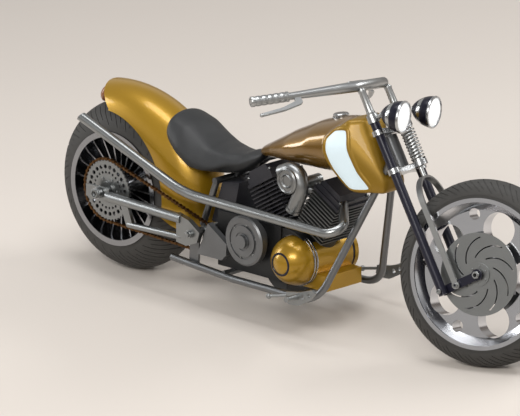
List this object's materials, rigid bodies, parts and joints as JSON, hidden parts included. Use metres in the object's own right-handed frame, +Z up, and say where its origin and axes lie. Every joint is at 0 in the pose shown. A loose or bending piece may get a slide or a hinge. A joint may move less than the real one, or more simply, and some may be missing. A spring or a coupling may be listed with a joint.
{
  "type": "custom motorcycle",
  "caption": "Long low custom motorcycle with a sprung leading-link fork, wide rear tyre, solo seat and V-twin engine, parked leaning on its side stand.",
  "frame": {"origin": "on the ground under the middle of the bounding box, with the motorcycle leaning left on its side stand", "axes": "+X forward along the motorcycle, +Y to the rider's left, +Z up from the ground"},
  "size_m": [2.4495, 0.8102, 1.0512],
  "materials": {
    "frame_steel": "satin grey",
    "arm_steel": "satin",
    "bright_metal": "polished",
    "polished_rim": "polished",
    "tyre": "matte",
    "disc_steel": "satin",
    "cast_metal": "cast",
    "chain_steel": "rusty brown",
    "cover_grey": "satin",
    "gold_paint": "gloss",
    "cylinder_grey": "satin",
    "engine_black": "satin",
    "satin_silver": "satin",
    "pipe_metal": "satin",
    "red_lens": "gloss",
    "seat_cover": "matte",
    "copper_paint": "gloss",
    "black_gloss": "gloss",
    "lens": "clear",
    "panel_blue": "gloss"
  },
  "bodies": {
    "chassis": {"neck_frame_tube": "frame_steel", "cradle_right": "frame_steel", "cradle_left": "frame_steel", "frame_braces": "frame_steel", "swingarm_pivot": "arm_steel", "swingarm_right": "arm_steel", "swingarm_left": "arm_steel", "rear_axle": "bright_metal", "rear_caliper": "cast_metal", "chain": "chain_steel", "side_covers": "cover_grey", "crankcase": "cover_grey", "drum": "gold_paint", "front_cylinder": "cylinder_grey", "front_head": "engine_black", "rear_cylinder": "engine_black", "air_cleaner": "satin_silver", "exhaust": "pipe_metal", "oil_box": "engine_black", "rear_fender": "gold_paint", "tail_lamp": "red_lens", "seat": "seat_cover", "fuel_tank": "copper_paint", "tank_nose": "gold_paint", "tank_panels": "panel_blue", "control_right": "cast_metal", "control_left": "cast_metal"},
    "steering": {"stem": "bright_metal", "fork_legs": "black_gloss", "sprung_legs": "satin_silver", "rockers": "black_gloss", "spring": "satin_silver", "front_axle": "bright_metal", "headlamps": "black_gloss", "lamp_lenses": "lens", "risers": "satin_silver", "handlebar": "satin_silver", "grips": "satin_silver", "levers": "satin_silver"},
    "front_wheel": {"front_rim": "polished_rim", "front_tyre": "tyre", "front_disc": "disc_steel"},
    "rear_wheel": {"rear_rim": "polished_rim", "rear_tyre": "tyre", "rear_sprocket": "disc_steel", "rear_disc": "disc_steel"},
    "side_stand": {"side_stand": "frame_steel"}
  },
  "joints": [
    {"name": "steering_turn", "type": "hinge", "parent": "chassis", "child": "steering", "pos_m": [0.43224, 0.07208, 0.78325], "axis": [-0.524, 0.1185, 0.8434], "range_deg": [-40, 0]},
    {"name": "front_wheel_spin", "type": "hinge", "parent": "steering", "child": "front_wheel", "pos_m": [0.88733, 0.06619, 0.33588], "axis": [-0.2913, 0.9056, -0.3082], "continuous": true},
    {"name": "rear_wheel_spin", "type": "hinge", "parent": "chassis", "child": "rear_wheel", "pos_m": [-0.897, 0.0078, 0.32591], "axis": [0, 0.9903, -0.1392], "continuous": true},
    {"name": "side_stand_fold", "type": "hinge", "parent": "chassis", "child": "side_stand", "pos_m": [-0.15491, 0.19055, 0.10295], "axis": [0.1162, 0.6831, 0.721], "range_deg": [0, 105]}
  ]
}
